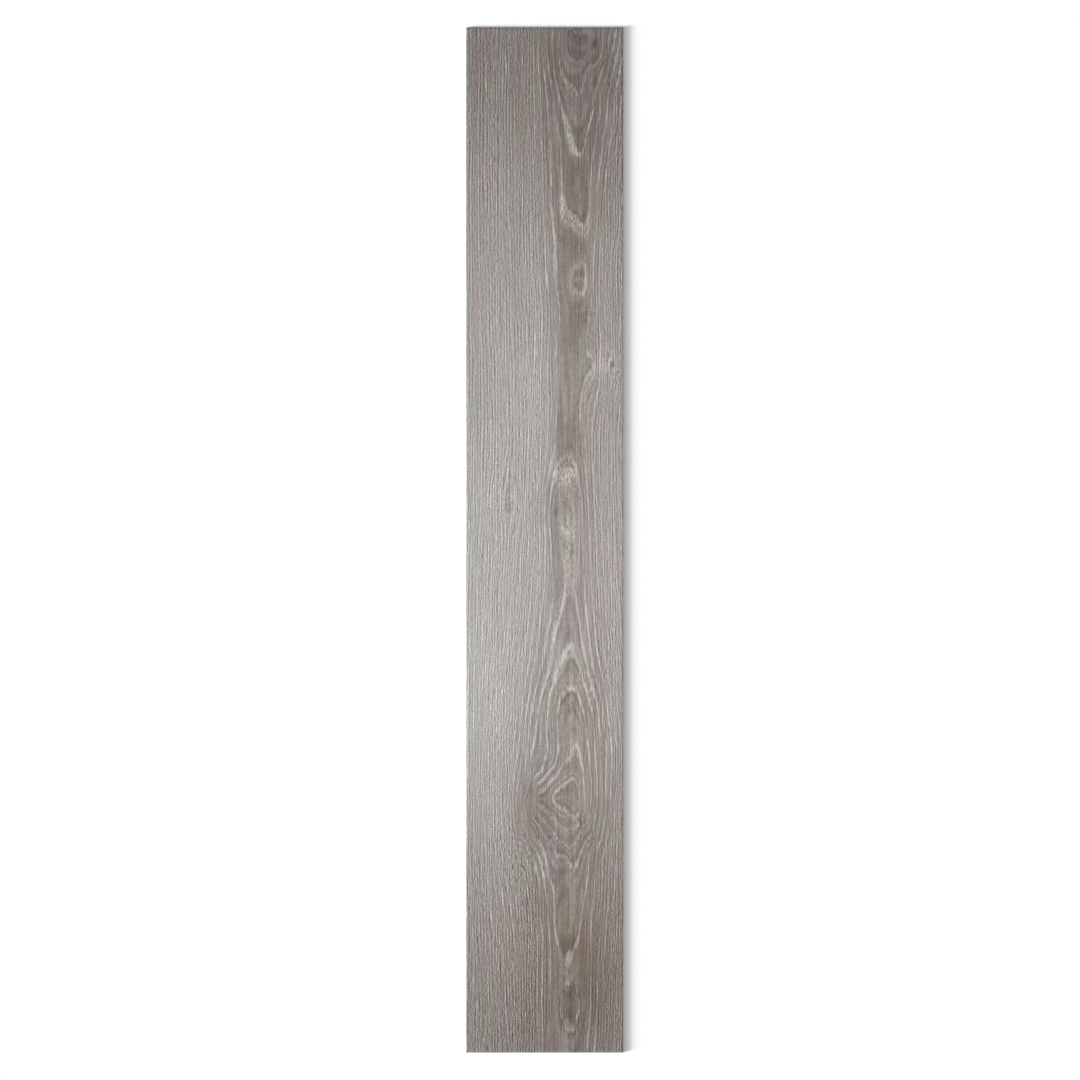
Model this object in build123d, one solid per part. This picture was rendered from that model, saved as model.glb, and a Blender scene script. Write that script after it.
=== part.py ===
from build123d import *
import os

# A glue-down vinyl floor plank: one flat sheet with a printed upper face.
# The plank lies face up. X runs across its width, Y along its length, and Z up.
# The origin is at the middle of the underside. All sizes are in millimetres.

# Driving dimensions
length = 1500.0
width = 230.0
thickness = 2.5

# The narrow bevel all round the upper face: its width in plan and its drop
bevel_width = 0.6
bevel_drop = 0.4


def make_plank():
    """The plank: a rectangle raised to the full thickness, with its four upper edges bevelled."""
    blank = extrude(Rectangle(width, length), amount=thickness)
    upper_face = blank.faces().sort_by(Axis.Z)[-1]
    return chamfer(upper_face.edges(), length=bevel_width, length2=bevel_drop, reference=upper_face)


plank = make_plank()
plank.label = "vinyl_plank"

os.makedirs("parts", exist_ok=True)
export_step(plank, "parts/vinyl_plank.step")
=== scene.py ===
import math

import bpy
import numpy as np
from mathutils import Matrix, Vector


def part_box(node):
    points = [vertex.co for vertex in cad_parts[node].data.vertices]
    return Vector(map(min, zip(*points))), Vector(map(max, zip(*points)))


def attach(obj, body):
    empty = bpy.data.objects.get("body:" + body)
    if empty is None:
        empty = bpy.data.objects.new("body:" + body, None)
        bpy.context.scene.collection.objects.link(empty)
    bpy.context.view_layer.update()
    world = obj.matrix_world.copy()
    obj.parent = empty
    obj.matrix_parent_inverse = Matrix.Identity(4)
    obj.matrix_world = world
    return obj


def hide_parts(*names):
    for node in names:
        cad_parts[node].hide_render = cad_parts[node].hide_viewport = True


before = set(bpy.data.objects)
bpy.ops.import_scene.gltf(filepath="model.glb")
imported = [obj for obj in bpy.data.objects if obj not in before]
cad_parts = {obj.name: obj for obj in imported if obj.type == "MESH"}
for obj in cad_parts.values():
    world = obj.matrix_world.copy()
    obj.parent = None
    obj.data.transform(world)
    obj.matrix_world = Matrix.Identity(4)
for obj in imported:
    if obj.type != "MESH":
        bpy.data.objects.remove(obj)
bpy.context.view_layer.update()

# Everything is in metres in the row's frame: X across the plank, Y along it, Z up through the printed face.
# The print's places and sizes are given in millimetres, which MM turns into metres.
MM = 0.001
NODE = "vinyl_plank"
plank_low, plank_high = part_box(NODE)
thickness = plank_high.z - plank_low.z

# The bevel round the upper face, as the part's source has it
bevel_width = 0.6 * MM
bevel_drop = 0.4 * MM

# The upper face's mesh: how many cells across and along inside the bevel, and the deepest cut of the grain
cells_across = 238
cells_along = 376
grain_depth = 0.02 * MM

# Where the pale line that ends each growth ring runs on the print. Each entry is the ring's count,
# outwards from the heart, and places (across, along) in millimetres that it passes.
GROWTH_LINES = (
    (0, ((33, 740), (33, 715), (39, 705), (50, 702), (60, 707), (64, 724), (60, 740))),
    (-0.6, ((45, 726),)),
    (0.4, ((48, 748),)),
    (1, ((23, 750), (20, 712), (31, 671), (41, 664), (50, 653), (57, 670), (63, 692), (73, 696),
         (83, 712), (86, 750))),
    (2, ((13, 750), (19, 654), (28, 620), (41, 577), (49, 566), (57, 573), (72, 632), (78, 670),
         (96, 750))),
    (3, ((3, 750), (12, 650), (21, 588), (25, 510), (27, 480), (38, 466), (50, 455), (60, 451), (66, 472),
         (67, 515), (77, 610), (83, 655), (95, 700))),
    (3.6, ((30, 440), (48, 430), (32, 400), (30, 350), (48, 330), (38, 280), (34, 220), (32, 160))),
    (3, ((37, 382), (47, 400), (60, 390), (58, 370), (44, 362))),
    (2.6, ((49, 381),)),
    (4, ((5, 600), (9, 500), (15, 410), (18, 370), (16, 270), (15, 160), (12, 122), (3, 75), (1, 0),
         (-6, -110), (-18, -200), (-31, -300), (-37, -340), (-41, -380), (-38, -415), (-27, -445),
         (-10, -490), (-6, -550), (-3, -610), (-4, -665), (-4, -750))),
    (4, ((90, 610), (77, 510), (71, 400), (61, 300), (64, 268), (72, 256), (64, 244), (55, 218),
         (52, 190), (59, 110), (66, 0), (75, -145), (88, -220), (98, -340), (95, -400), (84, -500),
         (78, -600), (77, -650), (72, -750))),
    (3, ((6, 30), (8, 62), (13, 88), (20, 106), (32, 117), (42, 110), (48, 84), (54, 50), (56, 0),
         (61, -105), (70, -185), (85, -255), (90, -300), (89, -360), (77, -450), (69, -540), (67, -600),
         (67, -640), (65, -700), (61, -750))),
    (3, ((5, -750), (6, -690), (8, -640), (7, -580), (4, -530), (-2, -490), (-14, -450), (-27, -425),
         (-35, -395), (-33, -360), (-23, -280), (-8, -197), (7, -120), (9, -20))),
    (2, ((37, -645), (27, -660), (23, -688), (31, -706), (40, -714), (48, -697), (49, -670))),
    (2.35, ((38, -748), (35, -628), (15, -690), (58, -680))),
    (1.45, ((37, -680),)),
    (2, ((31, 61), (22, 45), (20, 10), (28, -78), (26, -98), (13, -142), (9, -180), (-8, -242),
         (-20, -315), (-30, -380), (-26, -410), (-15, -435), (4, -485), (14, -535), (15, -570),
         (21, -598), (31, -613), (41, -602), (49, -580), (56, -535), (63, -490), (76, -435), (82, -350),
         (78, -248), (62, -185), (51, -120), (46, 0), (42, 42))),
    (1.9, ((33, 30), (34, -10), (36, -60))),
    (1.5, ((37, -110), (36, -480), (33, -530), (33, -575))),
    (1, ((38, -158), (31, -170), (24, -183), (16, -199), (5, -245), (2, -318), (-7, -342), (-17, -362),
         (-19, -385), (-11, -411), (12, -448), (38, -478), (49, -466), (66, -432), (77, -360), (70, -256),
         (54, -198), (47, -177))),
    (0, ((40, -217), (30, -225), (22, -238), (19, -275), (20, -308), (14, -332), (1, -348), (-13, -363),
         (-15, -387), (-5, -405), (20, -436), (34, -444), (48, -436), (57, -418), (68, -355), (61, -280),
         (50, -230))),
    (-1, ((46, -304), (37, -319), (22, -338), (9, -354), (-11, -380), (9, -401), (36, -421), (48, -415),
          (58, -370), (52, -320))),
    (-2, ((43, -350), (33, -355), (21, -365), (12, -377), (17, -387), (31, -396), (43, -405), (51, -398),
          (51, -375))),
    (-2.6, ((34, -376),)),
    (6, ((-16, 750), (-12, 500), (-4, 300), (-8, 100), (-22, -100), (-46, -300), (-53, -370), (-50, -410),
         (-29, -495), (-18, -590), (-16, -700), (-12, -750))),
    (15, ((-110, 750), (-108, 400), (-108, 0), (-112, -380), (-108, -750))),
    (8, ((104, 400), (100, 180), (102, 0))),
)
# Knots that the lines flow round, as soft hills on the ring count. Each is (across, along, half width, half
# length, rise), places and sizes in millimetres.
RING_HILLS = (
    (-62, 58, 10, 32, -0.75),
    (-42, 50, 8, 24, 0.70),
    (88, 257, 6, 16, 0.75),
    (107, 257, 6, 16, -0.75),
)
# The plain rings that the lines then bend: where the heart runs, how blunt it is and how wide a ring is,
# all in millimetres, how much the figure is drawn out along the plank, and how loosely it keeps to the
# lines' places
heart_across = 37.0
heart_width = 18.0
ring_width = 8.5
ring_stretch = 2.6
ring_softness = 4.0

# The broad tone as it would look in the picture, from 0 for black to 1 for white: a middle value, and soft
# pools added to it. Each is (across, along, half width, half length, change), all but the change in
# millimetres. The broad pale pools on the left and the darker ends are partly the print's own tone and
# partly painted light and painted shade.
middle_tone = 0.541
TONE_POOLS = (
    # Partly a painted pool of light: the two broad pale pools on the left
    (-90, -60, 120, 420, 0.12),
    (-110, -270, 70, 110, 0.04),
    (100, -120, 25, 200, 0.05),
    (80, 350, 25, 120, 0.03),
    # Partly painted shade: the darker far and near ends
    (20, 760, 200, 230, -0.12),
    (0, -760, 150, 300, -0.12),
    (25, 20, 16, 160, -0.04),
    (34, 98, 10, 16, 0.02),
    (31, 5, 7, 45, 0.03),
    (49, 376, 8, 15, 0.04),
    (-95, -560, 7, 90, -0.02),
    (50, 380, 26, 300, -0.045),
    (40, -560, 30, 110, -0.015),
    (30, 250, 16, 180, -0.005),
    (-18, -400, 16, 40, -0.035),
    (32, -375, 13, 22, -0.05),
    (37, -245, 12, 22, -0.04),
    (37, -190, 9, 14, -0.03),
    (34, -560, 13, 46, -0.035),
    (48, 722, 13, 18, -0.03),
    (75, -480, 18, 200, -0.020),
    (43, -525, 12, 40, 0.041),
    (30, -375, 26, 45, 0.010),
    (43, -375, 12, 40, 0.012),
    (-71, -75, 11, 45, -0.009),
    (71, -680, 11, 50, -0.009),
    (43, 675, 12, 50, 0.015),
    (-14, -675, 14, 50, -0.018),
    (-100, 300, 12, 350, -0.010),
    (0, 75, 50, 60, -0.013),
    (37, 68, 16, 32, -0.024),
    (16, -75, 8, 60, -0.010),
    (71, 525, 14, 60, -0.010),
    (43, -530, 10, 40, 0.012),
    (43, -225, 14, 50, 0.025),
    (14, 680, 12, 50, -0.033),
    (-43, 690, 13, 45, -0.010),
    (90, 690, 25, 60, -0.018),
    (14, -75, 12, 60, -0.018),
    (-5, -560, 20, 150, -0.013),
    (37, 230, 16, 50, 0.036),
    (48, 530, 12, 50, -0.020),
    (78, 680, 16, 50, -0.014),
    (-71, -525, 25, 100, 0.012),
    (-71, 525, 20, 80, 0.022),
    (-98, -620, 14, 120, 0.013),
    (-74, -380, 18, 260, 0.010),
    (-43, -375, 12, 45, -0.016),
    (-43, -225, 10, 45, 0.008),
    (-43, -525, 10, 45, 0.006),
    (-14, -620, 11, 110, -0.008),
    (-14, -225, 11, 45, -0.008),
    (14, -225, 11, 45, -0.009),
    (71, -150, 11, 100, -0.011),
    (100, -150, 11, 100, 0.008),
    (-100, 75, 11, 45, 0.011),
    (18, 525, 18, 45, -0.006),
    (56, -608, 7, 28, -0.035),
    (37, -681, 8, 18, -0.05),
    (14, -722, 8, 20, -0.02),
    (44, 680, 22, 40, 0.02),
    (37, 535, 11, 24, -0.03),
    (13, -25, 5, 60, -0.02),
    (40, -112, 8, 24, -0.02),
    (41, 225, 9, 40, 0.012),
    (75, -250, 14, 60, -0.025),
    (-14, -230, 12, 50, -0.02),
    (-100, 675, 14, 60, -0.02),
    (8, 690, 10, 50, -0.02),
    (-14, 380, 14, 200, 0.025),
    (-15, -310, 22, 80, -0.03),
    (75, -650, 30, 60, -0.04),
    (-100, 225, 18, 60, -0.015),
    (-25, 190, 20, 60, 0.015),
)
# Painted shade and painted light on the bevel, in the same form: thin strips painted darker along the left
# side and the near end, where the bevel faces the window, and paler along the right side, where it faces
# away, to even out the window's light on it
BEVEL_PAINTED_SHADING = (
    (-115, 0, 0.25, 5000, -0.55),
    (115, 0, 0.25, 5000, 0.42),
    (0, -750, 500, 0.25, -0.40),
)
# How much warmer than grey the print is, in the same form
middle_warmth = 0.0215
WARMTH_POOLS = (
    (-60, -60, 80, 420, -0.008),
    (-115, 0, 8, 900, -0.008),
    (115, 0, 8, 900, -0.004),
    (-100, 500, 12, 200, 0.006),
    (40, 250, 26, 260, 0.010),
    (70, -600, 90, 250, 0.010),
    (-18, -396, 15, 26, 0.020),
    (-50, 40, 8, 14, 0.010),
    (32, -375, 13, 22, 0.012),
    (38, -262, 12, 34, 0.008),
    (34, -560, 14, 50, 0.010),
    (56, -608, 8, 30, 0.014),
    (37, -681, 8, 18, 0.010),
    (14, -722, 8, 20, 0.008),
    (-60, -640, 60, 110, 0.006),
    (0, 750, 200, 160, 0.004),
)
# Where it leans to green, or below 0 to mauve, in the same form
middle_green = -0.0008
GREEN_POOLS = (
    (-108, 0, 12, 2000, 0.003),
    (100, 350, 14, 300, -0.001),
    (33, 0, 12, 50, 0.003),
    (40, -115, 8, 32, -0.006),
    (58, -20, 7, 60, -0.006),
    (37, -188, 10, 16, 0.006),
    (12, -20, 6, 50, 0.002),
    (33, -580, 14, 60, 0.004),
    (50, -440, 8, 20, 0.004),
    (-19, -393, 13, 18, 0.002),
    (36, 260, 14, 120, 0.003),
)
# How calm the fine lines, hairs and specks are, and below 0 how lively, in the same form
CALM_POOLS = (
    (36, 280, 17, 190, 0.6),
    (48, 715, 14, 24, 0.4),
    (32, -545, 15, 52, 0.6),
    (55, -612, 8, 30, 0.5),
    (37, -681, 8, 18, 0.5),
    (14, -722, 8, 20, 0.5),
    (-100, 100, 9, 600, 0.36),
    (0, 480, 500, 330, 0.15),
    (-46, 250, 12, 420, 0.22),
    (-71, 225, 12, 60, 0.30),
    (65, 680, 20, 60, 0.35),
    (12, 690, 14, 50, 0.30),
    (90, 225, 16, 60, 0.25),
    (30, -75, 12, 40, 0.40),
    (10, -370, 18, 36, 0.30),
    (-14, -650, 10, 90, -0.95),
    (-57, -75, 18, 60, 0.20),
    (98, -20, 10, 110, 0.20),
    (-71, 75, 11, 45, -0.30),
    (78, -670, 10, 60, -0.25),
    (68, -225, 20, 60, -0.20),
)
# Where the heart is darker than what lies outside its fourth growth line, in the same form
CORE_POOLS = (
    (38, 300, 22, 110, 0.6),
    (38, 170, 22, 40, 0.3),
)
# Where a pale line is wide and grainy, in the same form
SPECKLE_POOLS = (
    (36, 588, 7, 22, 0.8),
    (36, -624, 9, 12, 0.8),
    (31, -722, 5, 16, 0.6),
    (36, -162, 12, 12, 0.6),
    (36, 480, 13, 16, 1.0),
    (55, 462, 8, 12, 1.0),
    (15, 400, 4, 24, 0.8),
    (33, 106, 16, 14, 0.9),
    (38, -163, 8, 8, 0.9),
    (22, -185, 8, 16, 0.6),
    (30, -84, 10, 12, 0.4),
    (10, -160, 9, 40, 0.45),
    (48, 382, 14, 24, 0.4),
    (46, -308, 5, 8, 0.6),
)
# Where pale grains lie on the ground beside the lines, in the same form
PATCH_POOLS = (
    (29, 622, 3.5, 10, 0.3),
    (33, 603, 3.5, 11, 0.5),
    (38, 580, 4, 10, 0.7),
    (35, -624, 6, 9, 0.7),
    (31, -722, 4, 14, 0.5),
    (46, 567, 6, 5, 0.8),
    (29, 490, 7, 9, 0.9),
    (38, 476, 7, 8, 0.9),
    (48, 462, 7, 5, 0.8),
    (37, 98, 7, 15, 1.3),
    (24, 93, 6, 11, 1.1),
    (34, 20, 9, 36, 1.0),
    (37, -48, 8, 24, 0.5),
    (80, 253, 13, 13, 0.6),
    (31, -80, 7, 9, 0.4),
    (22, -106, 4, 14, 0.7),
    (14, -138, 4, 18, 0.6),
    (50, 566, 7, 6, 0.5),
    (39, 705, 6, 5, 0.6),
)
# How strong the lines of growth are, in the same form, around a middle value of 1
LINE_POOLS = (
    (47, 724, 20, 18, -0.9),
    (45, 660, 13, 12, 0.5),
    (63, 595, 6, 40, 0.4),
    (49, 375, 16, 28, -0.2),
    (16, 400, 5, 60, 0.5),
    (20, -260, 6, 40, 0.5),
    (66, 266, 7, 14, -0.5),
    (82, 262, 8, 24, 0.2),
    (-52, 52, 16, 36, 0.4),
    (12, -372, 24, 36, -0.25),
    (80, -375, 12, 60, -0.35),
    (66, -235, 16, 50, 0.25),
    (70, 690, 20, 50, -0.45),
    (15, 685, 10, 45, -0.25),
    (29, -80, 10, 24, -0.30),
    (69, -218, 10, 22, -0.3),
    (23, 545, 4, 55, 0.7),
    (67, 530, 5, 55, 0.6),
    (33, 58, 12, 14, -0.9),
    (22, 5, 7, 36, -0.8),
    (46, -5, 7, 45, -0.8),
    (5, -432, 30, 22, -0.45),
    (-28, -400, 14, 34, -0.6),
    (62, -400, 12, 50, -0.35),
    (32, 112, 10, 14, -1.0),
    (51, 72, 5, 22, 0.7),
    (10, 66, 4, 22, 0.6),
    (-8, -620, 14, 110, 0.3),
    (37, -690, 14, 30, 0.4),
    (-17, -380, 8, 12, -0.7),
)
# How ragged the lines are where they cross the fibres, in the same form
middle_raggedness = 0.7
RAGGED_POOLS = (
    (15, -355, 40, 34, -0.55),
    (36, 484, 16, 24, 0.9),
    (33, 105, 16, 20, 0.6),
    (35, 600, 12, 40, 0.4),
    (49, 375, 16, 30, 1.1),
    (36, -165, 12, 14, -0.4),
    (34, -84, 10, 14, 0.4),
    (44, 720, 14, 16, 0.5),
    (36, -620, 14, 24, 0.9),
    (37, -690, 16, 30, 0.7),
    (30, -450, 40, 30, 0.3),
)
# Knots and small marks, as further changes of tone in the same form
MARKS = (
    (98, 257, 5, 6, 0.06),
    (98, 257, 2, 2.5, -0.30),
    (105, 632, 3, 6, 0.06),
    (99, 597, 2, 4, 0.06),
    (-53, 50, 3, 5, -0.08),
    (17, 41, 1.2, 5, -0.16),
    (-53, 45, 2, 4, -0.10),
    (74, 725, 4, 6, -0.12),
    (-19, -366, 3, 5, -0.06),
    (-12, -410, 3, 5, -0.06),
    (53, -410, 0.9, 3.5, -0.16),
    (67, -219, 1.2, 2.5, 0.25),
    (66, 262, 5, 18, 0.03),
)

# What the mesh carries for the print's recipe: each layer's name, middle value and pools, and the least
# and the most that it may be where pools overlap
unlimited = (-math.inf, math.inf)
LAYERS = (
    # The tone also carries the bevel's painted shade and painted light
    ("tone", middle_tone, TONE_POOLS + BEVEL_PAINTED_SHADING, unlimited),
    ("mark", 0.0, MARKS, unlimited),
    ("warmth", middle_warmth, WARMTH_POOLS, unlimited),
    ("green", middle_green, GREEN_POOLS, unlimited),
    ("calm", 0.0, CALM_POOLS, (-1.0, 1.0)),
    ("core", 0.0, CORE_POOLS, unlimited),
    ("speckle", 0.0, SPECKLE_POOLS, (0.0, 1.0)),
    ("patch", 0.0, PATCH_POOLS, (0.0, 1.6)),
    ("line", 1.0, LINE_POOLS, (0.0, 1.6)),
    ("ragged", middle_raggedness, RAGGED_POOLS, (0.0, 2.0)),
)
# Added where a logarithm or a division can't take zero: square millimetres, and rings for each millimetre
tiny_square = 1e-9
tiny_slope = 1e-4


def pools(across, along, middle, spots):
    """A middle value plus soft round hills: each is its change times e to minus half the squared distance
    from its centre, measured in its half width across and its half length along."""
    value = np.full(across.shape, middle, float)
    for centre_across, centre_along, half_width, half_length, change in spots:
        reach = ((across - centre_across) / half_width) ** 2 + ((along - centre_along) / half_length) ** 2
        value += change * np.exp(-0.5 * reach)
    return value


def plain_rings(across):
    """Rings counted outwards from a straight heart: the length of (distance from the heart, its width),
    less that width, over the width of a ring."""
    return (np.hypot(across - heart_across, heart_width) - heart_width) / ring_width


def bend(across, along):
    """The thin-plate bending surface of one place: half the squared distance times its logarithm, with
    distances along the plank shrunk by the stretch of the figure."""
    squared = across ** 2 + (along / ring_stretch) ** 2
    return 0.5 * squared * np.log(squared + tiny_square)


def growth_rings(across, along):
    """The ring count anywhere on the print: plain rings, plus the smoothest surface that carries them to
    the growth lines, which is a level, two slopes and a bending surface round each place on the lines."""
    places = np.array([place for _, line in GROWTH_LINES for place in line], float)
    counts = np.array([count for count, line in GROWTH_LINES for _ in line], float)
    x, y = places.T
    flat = np.column_stack((np.ones_like(x), x, y))
    stiff = bend(x[:, None] - x, y[:, None] - y) + ring_softness * np.eye(len(x))
    whole = np.block([[stiff, flat], [flat.T, np.zeros((3, 3))]])
    wanted = np.concatenate((counts - plain_rings(x), np.zeros(3)))
    solved = np.linalg.solve(whole, wanted)
    level, slope_across, slope_along = solved[-3:]
    rings = plain_rings(across) + level + slope_across * across + slope_along * along
    for place_x, place_y, weight in zip(x, y, solved[:-3]):
        rings += weight * bend(across - place_x, along - place_y)
    return rings


# How far the brushed groove of a growth line reaches to each side, across and along, in millimetres
groove_across = 1.2
groove_along = 6.0


def upper_surface():
    """The printed face and its bevel as one grid, row by row from the near end. Inside the bevel, the
    height is the thickness less a groove along each growth line, which is e to minus the distance from
    the line over the groove's reach. Both are counted in rings: the reach is its millimetres across and
    along, times the slopes of the ring count. The outermost row and column on each side are the bevel's
    lower edge."""
    inner_across = np.linspace(plank_low.x + bevel_width, plank_high.x - bevel_width, cells_across + 1)
    inner_along = np.linspace(plank_low.y + bevel_width, plank_high.y - bevel_width, cells_along + 1)
    across = np.concatenate(([plank_low.x], inner_across, [plank_high.x]))
    along = np.concatenate(([plank_low.y], inner_along, [plank_high.y]))
    x, y = np.meshgrid(across, along)
    across_mm = x / MM
    along_mm = y / MM
    rings = growth_rings(across_mm, along_mm) + pools(across_mm, along_mm, 0.0, RING_HILLS)
    slope_along, slope_across = np.gradient(rings, along / MM, across / MM)
    reach = groove_across * np.abs(slope_across) + groove_along * np.abs(slope_along) + tiny_slope
    depth = grain_depth * np.exp(-np.abs(rings - np.round(rings)) / reach)
    # The highest place inside the bevel is level with the solid's face
    depth -= depth[1:-1, 1:-1].min()
    z = plank_high.z - depth
    z[0, :] = z[-1, :] = z[:, 0] = z[:, -1] = plank_high.z - bevel_drop
    painted = {"ring": rings, "ring_across": slope_across, "ring_along": slope_along}
    for name, middle, spots, (least, most) in LAYERS:
        painted[name] = np.clip(pools(across_mm, along_mm, middle, spots), least, most)
    return x, y, z, painted


def printed_faces(index):
    """The cells of the grid as faces, and for each whether it is smooth, as all are inside the bevel. The
    bevel's four mitred corners come last, each as two triangles that meet on the line from the outer to
    the inner corner."""
    cells = np.stack((index[:-1, :-1], index[:-1, 1:], index[1:, 1:], index[1:, :-1]), axis=-1)
    inside = np.zeros(cells.shape[:2], bool)
    inside[1:-1, 1:-1] = True
    corner = np.zeros(cells.shape[:2], bool)
    corner[[0, 0, -1, -1], [0, -1, 0, -1]] = True
    faces = cells[~corner].tolist()
    smooth = inside[~corner].tolist()
    for turn, (row, column) in enumerate(((0, 0), (0, -1), (-1, -1), (-1, 0))):
        a, b, c, d = np.roll(cells[row, column], -turn).tolist()
        faces += [[a, b, c], [a, c, d]]
        smooth += [False, False]
    return faces, smooth


def back_faces(index, below):
    """The underside as one strip for each row of the grid, from the left wall to the right. The first and
    the last strip also hold every lower corner of the end walls."""
    left = below[index[:, 0]]
    right = below[index[:, -1]]
    strips = np.column_stack((left[:-1], left[1:], right[1:], right[:-1])).tolist()
    near = [left[0], left[1], right[1], *below[index[0, :0:-1]]]
    far = [left[-2], *below[index[-1, :]], right[-2]]
    return [near, *strips[1:-1], far]


# The plank's finishes, in the order of its materials
PRINT, CUT_EDGE, BACK = range(3)


def make_plank(materials):
    """One closed skin: the upper grid, walls straight down from its rim, and the underside."""
    x, y, z, painted = upper_surface()
    index = np.arange(x.size).reshape(x.shape)
    rim = np.concatenate((index[0, :-1], index[:-1, -1], index[-1, :0:-1], index[:0:-1, 0]))
    following = np.roll(rim, -1)
    upper = np.column_stack((x.ravel(), y.ravel(), z.ravel()))
    lower = upper[rim]
    lower[:, 2] = plank_low.z
    below = np.full(x.size, -1)
    below[rim] = x.size + np.arange(len(rim))

    printed, smooth = printed_faces(index)
    walls = np.column_stack((below[rim], below[following], following, rim)).tolist()
    back = back_faces(index, below)
    finish = np.repeat((PRINT, CUT_EDGE, BACK), (len(printed), len(walls), len(back)))
    smooth += [False] * (len(walls) + len(back))

    mesh = bpy.data.meshes.new("vinyl_plank_skin")
    mesh.from_pydata(np.concatenate((upper, lower)).tolist(), [], printed + walls + back)
    for material in materials:
        mesh.materials.append(material)
    mesh.polygons.foreach_set("material_index", finish.astype(np.int32))
    mesh.polygons.foreach_set("use_smooth", np.array(smooth))
    carried_from = np.concatenate((index.ravel(), rim))
    for name, values in painted.items():
        carried = values.ravel()[carried_from].astype(np.float32)
        mesh.attributes.new(name, "FLOAT", "POINT").data.foreach_set("value", carried)
    lay_out(mesh, finish)
    mesh.update()
    plank = bpy.data.objects.new("vinyl_plank_print", mesh)
    bpy.context.scene.collection.objects.link(plank)
    return plank


# The flat layout of the skin on its UV map, as shares of it: the margin round each part, where the print
# ends, and how high the underside and each wall are
uv_margin = 0.008
print_height = 0.82
underside_height = 0.09
wall_height = 0.01


def lay_out(mesh, finish):
    """The print's near and far halves lie side by side, each stretched to half the map's width. The
    underside lies on its side above them, and the four walls above that, each as a thin band along the
    map's width."""
    corners = np.zeros(len(mesh.loops), np.int32)
    mesh.loops.foreach_get("vertex_index", corners)
    sizes = np.zeros(len(mesh.polygons), np.int32)
    mesh.polygons.foreach_get("loop_total", sizes)
    face_of = np.repeat(np.arange(len(sizes)), sizes)
    places = np.zeros(len(mesh.vertices) * 3, np.float32)
    mesh.vertices.foreach_get("co", places)
    place = places.reshape(-1, 3)[corners]
    share_across = (place[:, 0] - plank_low.x) / (plank_high.x - plank_low.x)
    share_along = (place[:, 1] - plank_low.y) / (plank_high.y - plank_low.y)
    share_up = (place[:, 2] - plank_low.z) / thickness
    finish_here = finish[face_of]
    uv = np.zeros((len(corners), 2))

    on_print = finish_here == PRINT
    # A face is in the far half where the middle of its corners lies past the middle of the plank
    face_along = np.bincount(face_of, share_along) / sizes
    far = face_along[face_of[on_print]] > 0.5
    half_width = (1 - 3 * uv_margin) / 2
    half_share = 2 * share_along[on_print] - far
    uv[on_print, 0] = uv_margin + share_across[on_print] * half_width + far * (half_width + uv_margin)
    uv[on_print, 1] = uv_margin + half_share * (print_height - uv_margin)

    band = 1 - 2 * uv_margin
    on_back = finish_here == BACK
    back_base = print_height + uv_margin
    uv[on_back, 0] = uv_margin + share_along[on_back] * band
    uv[on_back, 1] = back_base + share_across[on_back] * underside_height

    on_wall = finish_here == CUT_EDGE
    first_wall = np.count_nonzero(finish == PRINT)
    end_faces = cells_across + 2
    long_faces = cells_along + 2
    walls_end = np.cumsum([end_faces, long_faces, end_faces])
    wall = np.searchsorted(walls_end, face_of[on_wall] - first_wall, side="right")
    along_wall = np.where(wall % 2 == 1, share_along[on_wall], share_across[on_wall])
    wall_base = back_base + underside_height + uv_margin + wall * (wall_height + uv_margin)
    uv[on_wall, 0] = uv_margin + along_wall * band
    uv[on_wall, 1] = wall_base + share_up[on_wall] * wall_height
    mesh.uv_layers.new(name="OFBake").data.foreach_set("uv", uv.astype(np.float32).ravel())


# How strongly both kinds of vinyl reflect head-on
specular_level = 0.4


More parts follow.
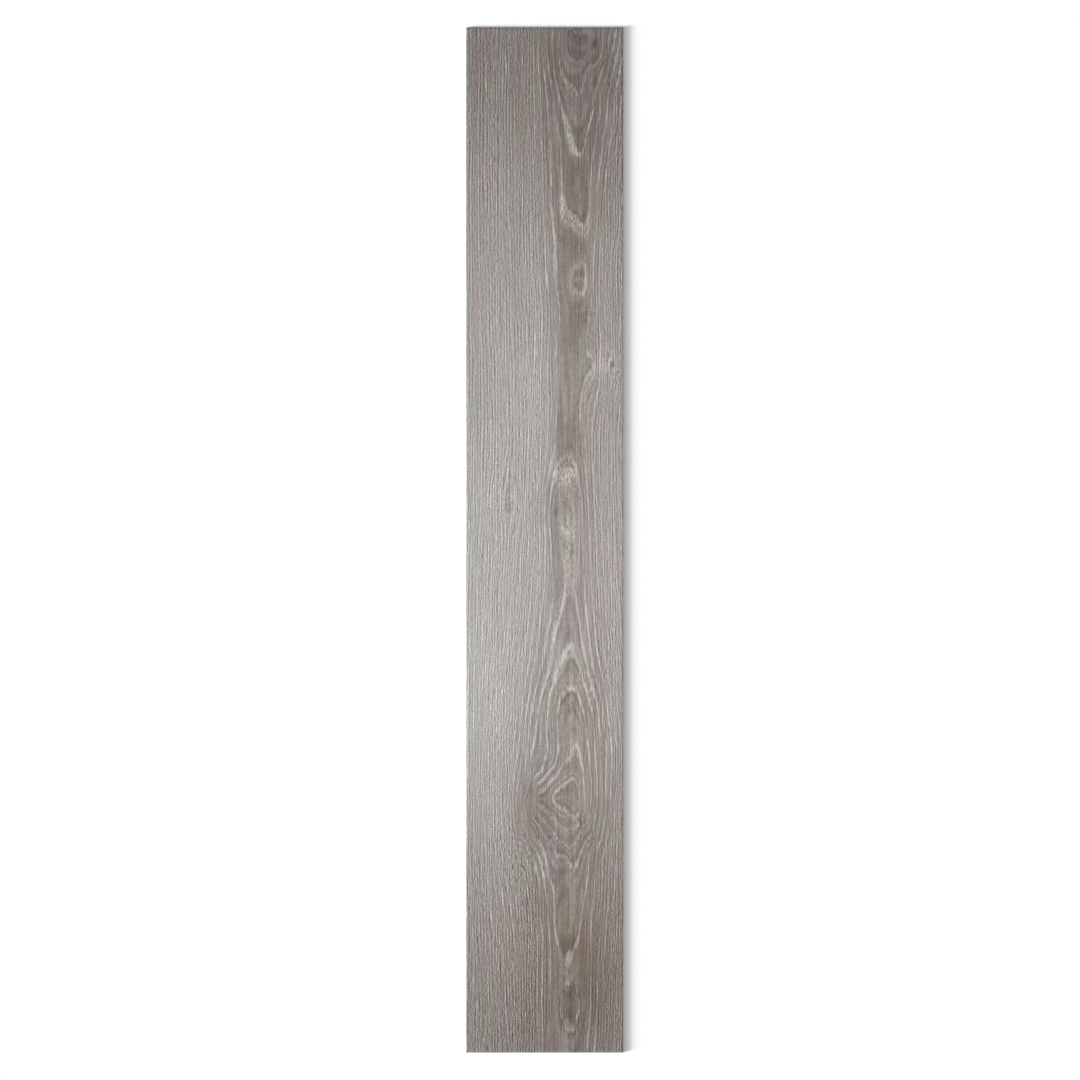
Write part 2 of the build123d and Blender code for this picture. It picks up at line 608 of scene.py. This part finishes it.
class Recipe:
    """The nodes of one material or of the world. A value is a plain number or an earlier step's output."""

    def __init__(self, holder, output="ShaderNodeOutputMaterial"):
        self.holder = holder
        holder.use_nodes = True
        self.tree = holder.node_tree
        self.tree.nodes.clear()
        self.output = self.node(output)

    def node(self, kind, **settings):
        made = self.tree.nodes.new(kind)
        for name, value in settings.items():
            setattr(made, name, value)
        return made

    def feed(self, socket, value):
        if isinstance(value, bpy.types.NodeSocket):
            self.tree.links.new(value, socket)
        else:
            socket.default_value = value

    def calc(self, operation, *values):
        step = self.node("ShaderNodeMath", operation=operation)
        for socket, value in zip(step.inputs, values):
            self.feed(socket, value)
        return step.outputs[0]

    def add(self, *values):
        total = values[0]
        for value in values[1:]:
            total = self.calc("ADD", total, value)
        return total

    def times(self, *values):
        product = values[0]
        for value in values[1:]:
            product = self.calc("MULTIPLY", product, value)
        return product

    def ramp(self, value, start, end, low, high):
        """A smooth step from low at start to high at end."""
        step = self.node("ShaderNodeMapRange", interpolation_type="SMOOTHSTEP")
        numbers = {"Value": value, "From Min": start, "From Max": end, "To Min": low, "To Max": high}
        for name, number in numbers.items():
            self.feed(step.inputs[name], number)
        return step.outputs["Result"]

    def fade(self, value, share):
        """1 where the value is 1, and less by that share where it is 0."""
        return self.calc("MULTIPLY_ADD", value, share, 1.0 - share)

    def painted(self, name):
        return self.node("ShaderNodeAttribute", attribute_name=name).outputs["Fac"]

    def place(self):
        """The place on the plank in millimetres, across and along."""
        where = self.node("ShaderNodeTexCoord").outputs["Object"]
        apart = self.node("ShaderNodeSeparateXYZ")
        self.feed(apart.inputs[0], where)
        return [self.calc("DIVIDE", apart.outputs[axis], MM) for axis in ("X", "Y")]

    def noise(self, across, along, width, length, seed, detail=0.0):
        """Soft random streaks, width across and length along in millimetres, from about -1 to 1."""
        spot = self.node("ShaderNodeCombineXYZ")
        self.feed(spot.inputs[0], self.calc("DIVIDE", across, width))
        self.feed(spot.inputs[1], self.calc("DIVIDE", along, length))
        spot.inputs[2].default_value = seed
        cloud = self.node("ShaderNodeTexNoise", noise_dimensions="3D")
        self.feed(cloud.inputs["Vector"], spot.outputs[0])
        cloud.inputs["Scale"].default_value = 1.0
        cloud.inputs["Detail"].default_value = detail
        return self.calc("MULTIPLY_ADD", cloud.outputs["Fac"], 2.0, -1.0)

    def bump(self, height, distance):
        step = self.node("ShaderNodeBump")
        step.inputs["Distance"].default_value = distance
        self.feed(step.inputs["Height"], height)
        return step.outputs["Normal"]

    def end_with(self, shader):
        self.tree.links.new(shader.outputs[0], self.output.inputs["Surface"])
        return self.holder

    def surface(self, colour, roughness, normal):
        shader = self.node("ShaderNodeBsdfPrincipled")
        shader.inputs["Specular IOR Level"].default_value = specular_level
        self.feed(shader.inputs["Base Color"], colour)
        self.feed(shader.inputs["Roughness"], roughness)
        self.feed(shader.inputs["Normal"], normal)
        return self.end_with(shader)


# How strongly each part of the print lightens or darkens it
pale_line = 0.215
dark_halo = 0.045
apex_shade = 0.07
core_shade = 0.09
fine_light = 0.066
hair_light = 0.035
speck_light = 0.170
smear_light = 0.018
streak_light = 0.022
patch_light = 0.16

# The noises of the print, each (width, length, seed) and, where it has any, its finer detail, with widths
# and lengths in millimetres. The first four stagger, shift, break and fade the lines of growth.
STAGGER = (1.5, 38, 1.3, 1.0)
WANDER = (3.0, 28, 7.7)
BREAKS = (1.6, 14, 3.1, 1.0)
FADING = (14, 70, 8.3)
GRAINS = (1.2, 7.0, 31.1, 1.0)
SPECKS = (1.3, 1.5, 23.9)
SMEARS = (7, 55, 37.1, 1.0)
STREAKS = (6.0, 110, 53.9, 2.0)
HAIR_BENDS = (5, 110, 29.7)
WARM_DRIFT = (9, 160, 41.3, 1.0)
GREEN_DRIFT = (12, 70, 47.7, 2.0)

# The smooth steps, each (start, end, value at the start, value at the end). The first four are taken on
# noise, the next two on the distance from a line in its reaches, the next two on the ring count, the next
# on the part of a ring from a line inwards, and the last on how squarely a line crosses the fibres.
BREAKS_RAMP = (-0.4, 0.2, 0.5, 1.15)
FADING_RAMP = (-0.4, 0.3, 0.6, 1.1)
GRAINS_RAMP = (-0.3, 0.3, 0.0, 1.0)
STREAKS_RAMP = (-0.1, 0.1, -1.0, 1.0)
CREST_RAMP = (0.4, 1.7, 1.0, 0.0)
HALO_RAMP = (0.8, 3.0, 1.0, 0.0)
HEART_RAMP = (2.5, 7.0, 1.0, 0.0)
CORE_RAMP = (3.85, 4.1, 1.0, 0.0)
INWARDS_RAMP = (0.05, 0.7, 1.0, 0.0)
CROSSING_RAMP = (0.3, 0.8, 0.0, 1.0)

# The lines of growth: how far noise moves their dashes, and how far a pale line reaches to each side,
# along and across in millimetres. One lies on each whole count, so half a ring is the furthest from any.
stagger_along = 13.0
stagger_across = 0.8
pale_along = 2.9
pale_across = 0.82
half_ring = 0.5
# How much more a slope along the fibres counts than one across them, how much of a line is lost in the
# flanks, and in speckled places how much wider it gets and how much of it the grains take away
crossing_stretch = 4.0
flank_fading = 0.7
speckled_widening = 2.5
grain_contrast = 0.65


def staggered_rings(oak, across, along):
    """The ring count and its slopes across and along. Noise moves the count's place a little, along times
    the slope along and across times the slope across, which breaks the lines that cross the fibres into
    staggered dashes."""
    slope_across = oak.painted("ring_across")
    slope_along = oak.painted("ring_along")
    shift_along = oak.times(oak.noise(across, along, *STAGGER), oak.painted("ragged"), stagger_along)
    shift_across = oak.times(oak.noise(across, along, *WANDER), stagger_across)
    moved_along = oak.times(slope_along, shift_along)
    moved_across = oak.times(slope_across, shift_across)
    return oak.add(oak.painted("ring"), moved_along, moved_across), slope_across, slope_along


def growth_tones(oak, across, along, rings, heart, grains):
    """What the lines of growth add to the tone: the pale lines, the dark halo on both sides of each, and
    the shade just inside each line where it crosses the fibres."""
    ring, slope_across, slope_along = rings
    steep_across = oak.calc("ABSOLUTE", slope_across)
    steep_along = oak.calc("ABSOLUTE", slope_along)
    reach = oak.add(oak.times(steep_across, pale_across), oak.times(steep_along, pale_along), tiny_slope)
    steps = oak.calc("DIVIDE", oak.calc("PINGPONG", ring, half_ring), reach)

    speckled = oak.painted("speckle")
    broken = oak.ramp(oak.noise(across, along, *BREAKS), *BREAKS_RAMP)
    faint = oak.ramp(oak.noise(across, along, *FADING), *FADING_RAMP)
    grainy = oak.fade(grains, grain_contrast)
    dashes = oak.add(oak.times(broken, oak.calc("SUBTRACT", 1.0, speckled)), oak.times(grainy, speckled))
    strength = oak.times(oak.fade(heart, flank_fading), oak.painted("line"))
    wider = oak.calc("MULTIPLY_ADD", speckled, speckled_widening, 1.0)
    crest = oak.ramp(oak.calc("DIVIDE", steps, wider), *CREST_RAMP)
    pale = oak.times(crest, dashes, faint, strength, pale_line)
    halo = oak.times(oak.ramp(steps, *HALO_RAMP), strength, -dark_halo)

    stretched = oak.times(steep_along, crossing_stretch)
    crossing = oak.calc("DIVIDE", stretched, oak.add(stretched, steep_across, tiny_slope))
    inwards = oak.ramp(oak.calc("FRACT", oak.times(ring, -1.0)), *INWARDS_RAMP)
    apex = oak.times(oak.ramp(crossing, *CROSSING_RAMP), inwards, heart, -apex_shade)
    return [pale, halo, apex]


# The fine lines: how many millimetres a ring counts for where they follow the rings, and the spacings in
# millimetres of those that follow them, of those that run straight and of the hairs, which are straight too
flank_ring_width = 11.0
FLOWING_SPACINGS = (4.9, 3.8)
STRAIGHT_SPACINGS = (4.2,)
hair_spacing = 3.6
# How far the fine lines and the hairs sway, in radians of their sine, the width and length in millimetres
# of the fine lines' bends and of their dashes, and how much the dashes change round a middle strength
fine_sway = 3.4
hair_sway = 4.0
FINE_BENDS = (10.0, 60)
FINE_DASHES = (4.0, 6)
dash_change = 1.9
dash_middle = 0.75
# The seeds of a fine line's noises: its spacing times the first, and that plus the second for its dashes
bend_seed = 11.9
dash_seed = 4.3


def swaying_lines(oak, course, along, spacing, bends, sway):
    """The sine of a full turn for each spacing of the course, with its phase moved by noise."""
    phase = oak.times(oak.noise(course, along, *bends), sway)
    return oak.calc("SINE", oak.add(oak.times(course, 2 * math.pi / spacing), phase))


def fine_lines(oak, across, along, course, spacing):
    """Swaying lines times a strength that noise changes along them."""
    seed = bend_seed * spacing
    lines = swaying_lines(oak, course, along, spacing, (*FINE_BENDS, seed), fine_sway)
    dashes = oak.noise(across, along, *FINE_DASHES, seed + dash_seed)
    return oak.times(lines, oak.calc("MULTIPLY_ADD", dashes, dash_change, dash_middle))


def fine_texture(oak, across, along, ring):
    """The fine lines, the hairs and the specks, each up and down round 0."""
    flow = oak.times(ring, flank_ring_width)
    flowing = [fine_lines(oak, across, along, flow, spacing) for spacing in FLOWING_SPACINGS]
    straight = [fine_lines(oak, across, along, across, spacing) for spacing in STRAIGHT_SPACINGS]
    hairs = swaying_lines(oak, across, along, hair_spacing, HAIR_BENDS, hair_sway)
    return oak.add(*flowing, *straight), hairs, oak.noise(across, along, *SPECKS)


# How one unit of warmth, or of green, moves each of red, green and blue, and how far noise moves the two
WARM_SHIFT = (1.0, -0.12, -0.95)
GREEN_SHIFT = (-0.6, 1.0, -0.6)
warm_drift = 0.012
green_drift = 0.011
display_gamma = 2.2


def tinted(oak, across, along, tone):
    """The tone as a colour: each of red, green and blue is the tone plus its share of the warmth and of
    the green. The power of the display then turns what is seen into what the vinyl reflects."""
    warmth = oak.add(oak.painted("warmth"), oak.times(oak.noise(across, along, *WARM_DRIFT), warm_drift))
    green = oak.add(oak.painted("green"), oak.times(oak.noise(across, along, *GREEN_DRIFT), green_drift))
    mix = oak.node("ShaderNodeCombineColor", mode="RGB")
    for socket, warm_share, green_share in zip(mix.inputs, WARM_SHIFT, GREEN_SHIFT):
        warmed = oak.calc("MULTIPLY_ADD", warmth, warm_share, tone)
        oak.feed(socket, oak.calc("MULTIPLY_ADD", green, green_share, warmed))
    seen = oak.node("ShaderNodeGamma")
    oak.feed(seen.inputs["Color"], mix.outputs[0])
    seen.inputs["Gamma"].default_value = display_gamma
    return seen.outputs[0]


# How much the heart calms the texture, and how much of each of its kinds is lost where it is calm
heart_calms = 0.7
fine_calmed = 0.8
specks_calmed = 0.55
hairs_calmed = 0.5
# The relief under the print: the shares of the fine lines, hairs and specks in it, and its depth
fine_relief = 0.5
hair_relief = 0.2
speck_relief = 0.3
relief_depth = 0.03 * MM
# How rough the wear layer is, and how much the fine lines change that
print_roughness = 0.58
fine_roughness = 0.03


def limed_oak_print():
    """Limed, brushed oak as printed on the vinyl: dashed pale lines of growth on a taupe ground. Its
    painted tone also holds painted light and painted shade, on the bevel and in the broad pools.
    """
    oak = Recipe(bpy.data.materials.new("limed_oak_print"))
    across, along = oak.place()
    rings = staggered_rings(oak, across, along)
    ring = rings[0]
    heart = oak.ramp(ring, *HEART_RAMP)
    grains = oak.ramp(oak.noise(across, along, *GRAINS), *GRAINS_RAMP)
    growth = growth_tones(oak, across, along, rings, heart, grains)

    fine, hairs, specks = fine_texture(oak, across, along, ring)
    outside_heart = oak.calc("MULTIPLY_ADD", heart, -heart_calms, 1.0)
    lively = oak.times(oak.calc("SUBTRACT", 1.0, oak.painted("calm")), outside_heart)
    texture = oak.add(
        oak.times(fine, fine_light, oak.fade(lively, fine_calmed)),
        oak.times(specks, speck_light, oak.fade(lively, specks_calmed)),
        oak.times(hairs, hair_light, oak.fade(lively, hairs_calmed)),
    )
    smears = oak.times(oak.noise(across, along, *SMEARS), smear_light)
    streaks = oak.times(oak.ramp(oak.noise(across, along, *STREAKS), *STREAKS_RAMP), heart, streak_light)
    patch = oak.times(oak.painted("patch"), grains, patch_light)
    core = oak.times(oak.ramp(ring, *CORE_RAMP), oak.painted("core"), -core_shade)
    tone = oak.add(oak.painted("tone"), oak.painted("mark"), *growth, texture, smears, streaks, patch, core)

    height = oak.add(
        oak.times(fine, fine_relief),
        oak.times(hairs, hair_relief),
        oak.times(specks, speck_relief),
    )
    roughness = oak.calc("MULTIPLY_ADD", fine, fine_roughness, print_roughness)
    return oak.surface(tinted(oak, across, along, tone), roughness, oak.bump(height, relief_depth))


# The plain vinyl: how light its cut edge and its back are, its clouds and its pressed grain as noises in
# the print's form, how much the clouds lighten it, how deep the grain is, how rough the vinyl is, and how
# much the grain changes that
edge_lightness = 0.16
back_lightness = 0.20
CLOUDS = (4.0, 4.0, 2.5, 3.0)
PRESSED_GRAIN = (0.8, 0.8, 9.5, 2.0)
cloud_light = 0.02
pressed_depth = 0.05 * MM
vinyl_roughness = 0.62
grain_roughness = 0.08


def pressed_vinyl(name, lightness):
    """The plain grey vinyl of the cut walls and the underside, finely grained by the press."""
    vinyl = Recipe(bpy.data.materials.new(name))
    across, along = vinyl.place()
    grain = vinyl.noise(across, along, *PRESSED_GRAIN)
    shade = vinyl.calc("MULTIPLY_ADD", vinyl.noise(across, along, *CLOUDS), cloud_light, lightness)
    mix = vinyl.node("ShaderNodeCombineColor", mode="RGB")
    for socket in mix.inputs:
        vinyl.feed(socket, shade)
    roughness = vinyl.calc("MULTIPLY_ADD", grain, grain_roughness, vinyl_roughness)
    return vinyl.surface(mix.outputs[0], roughness, vinyl.bump(grain, pressed_depth))


# The photograph's frame, 1080 pixels square, and the plank's place and size in it
frame_pixels = 1080
plank_pixels_long = 1025.27
plank_centre_pixel = (544.68, 539.95)
metres_per_pixel = (plank_high.y - plank_low.y) / plank_pixels_long
# The camera: its sensor's width, its lens and how far it sees, in metres
sensor_width = 0.036
lens = 0.100
view_reach = 100.0


def straight_down_camera():
    """Looks straight down on the plank: its height is the frame's span times the lens over the sensor."""
    span = frame_pixels * metres_per_pixel
    camera = bpy.data.cameras.new("straight_down")
    camera.sensor_width = sensor_width / MM
    camera.lens = lens / MM
    camera.clip_end = view_reach
    holder = bpy.data.objects.new("straight_down", camera)
    holder.location = (
        (frame_pixels / 2 - plank_centre_pixel[0]) * metres_per_pixel,
        (plank_centre_pixel[1] - frame_pixels / 2) * metres_per_pixel,
        plank_high.z + span * lens / sensor_width,
    )
    bpy.context.scene.collection.objects.link(holder)
    bpy.context.scene.camera = holder


# The light: the shares of the whole that come from the sky and from the lower and upper panes of the
# window, which way the window lies, and how high up and how soft each pane is, in degrees
sky_share = 0.37
lower_share = 0.47
upper_share = 0.16
window_azimuth = 193.0
lower_elevation = 9.0
lower_softness = 10.0
upper_elevation = 20.0
upper_softness = 18.0


def lamp(name, share, elevation, softness):
    """One pane of the window, as a far, soft lamp. Its strength gives a level white surface that share of
    full white: the share times pi over the sine of its elevation."""
    light = bpy.data.lights.new(name, "SUN")
    light.angle = math.radians(softness)
    light.energy = share * math.pi / math.sin(math.radians(elevation))
    holder = bpy.data.objects.new(name, light)
    holder.rotation_euler = (0, math.radians(90 - elevation), math.radians(window_azimuth))
    bpy.context.scene.collection.objects.link(holder)


def seen_directly(recipe):
    """1 for a ray from the camera, and for one that it sees in gloss or through glass, otherwise 0."""
    path = recipe.node("ShaderNodeLightPath").outputs
    either = recipe.calc("MAXIMUM", path["Is Camera Ray"], path["Is Glossy Ray"])
    return recipe.calc("MAXIMUM", either, path["Is Transmission Ray"])


def studio():
    """A sky that is white to the camera and lights the plank with its share, and the low window."""
    world = bpy.data.worlds.new("studio")
    bpy.context.scene.world = world
    sky = Recipe(world, "ShaderNodeOutputWorld")
    level = sky.node("ShaderNodeMapRange")
    level.inputs["To Min"].default_value = sky_share
    sky.feed(level.inputs["Value"], seen_directly(sky))
    white = sky.node("ShaderNodeBackground")
    white.inputs["Color"].default_value = (1, 1, 1, 1)
    sky.feed(white.inputs["Strength"], level.outputs["Result"])
    sky.end_with(white)
    lamp("lower_pane", lower_share, lower_elevation, lower_softness)
    lamp("upper_pane", upper_share, upper_elevation, upper_softness)


# The floor: its paleness, how much the camera's view of it is lifted, and how far it reaches, in metres
floor_colour = 0.93
floor_lift = 0.08
floor_reach = 30.0


def floor():
    """A white sheet at the level of the underside. To the camera it is lifted a little, so that where
    nothing shades it, it is plain white, and the shadow stays."""
    sheet = Recipe(bpy.data.materials.new("white_floor"))
    matt = sheet.node("ShaderNodeBsdfDiffuse")
    matt.inputs["Color"].default_value = (floor_colour, floor_colour, floor_colour, 1)
    glow = sheet.node("ShaderNodeEmission")
    sheet.feed(glow.inputs["Strength"], sheet.times(seen_directly(sheet), floor_lift))
    both = sheet.node("ShaderNodeAddShader")
    sheet.feed(both.inputs[0], matt.outputs[0])
    sheet.feed(both.inputs[1], glow.outputs[0])
    corners = [(-floor_reach, -floor_reach), (floor_reach, -floor_reach),
               (floor_reach, floor_reach), (-floor_reach, floor_reach)]
    mesh = bpy.data.meshes.new("floor")
    mesh.from_pydata([(x, y, plank_low.z) for x, y in corners], [], [(0, 1, 2, 3)])
    mesh.materials.append(sheet.end_with(both))
    ground = bpy.data.objects.new("floor", mesh)
    bpy.context.scene.collection.objects.link(ground)


straight_down_camera()
studio()
floor()
finishes = (
    limed_oak_print(),
    pressed_vinyl("cut_edge", edge_lightness),
    pressed_vinyl("pressed_back", back_lightness),
)
plank = make_plank(finishes)
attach(plank, "root")
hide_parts(NODE)

bpy.context.scene.view_settings.view_transform = "Standard"
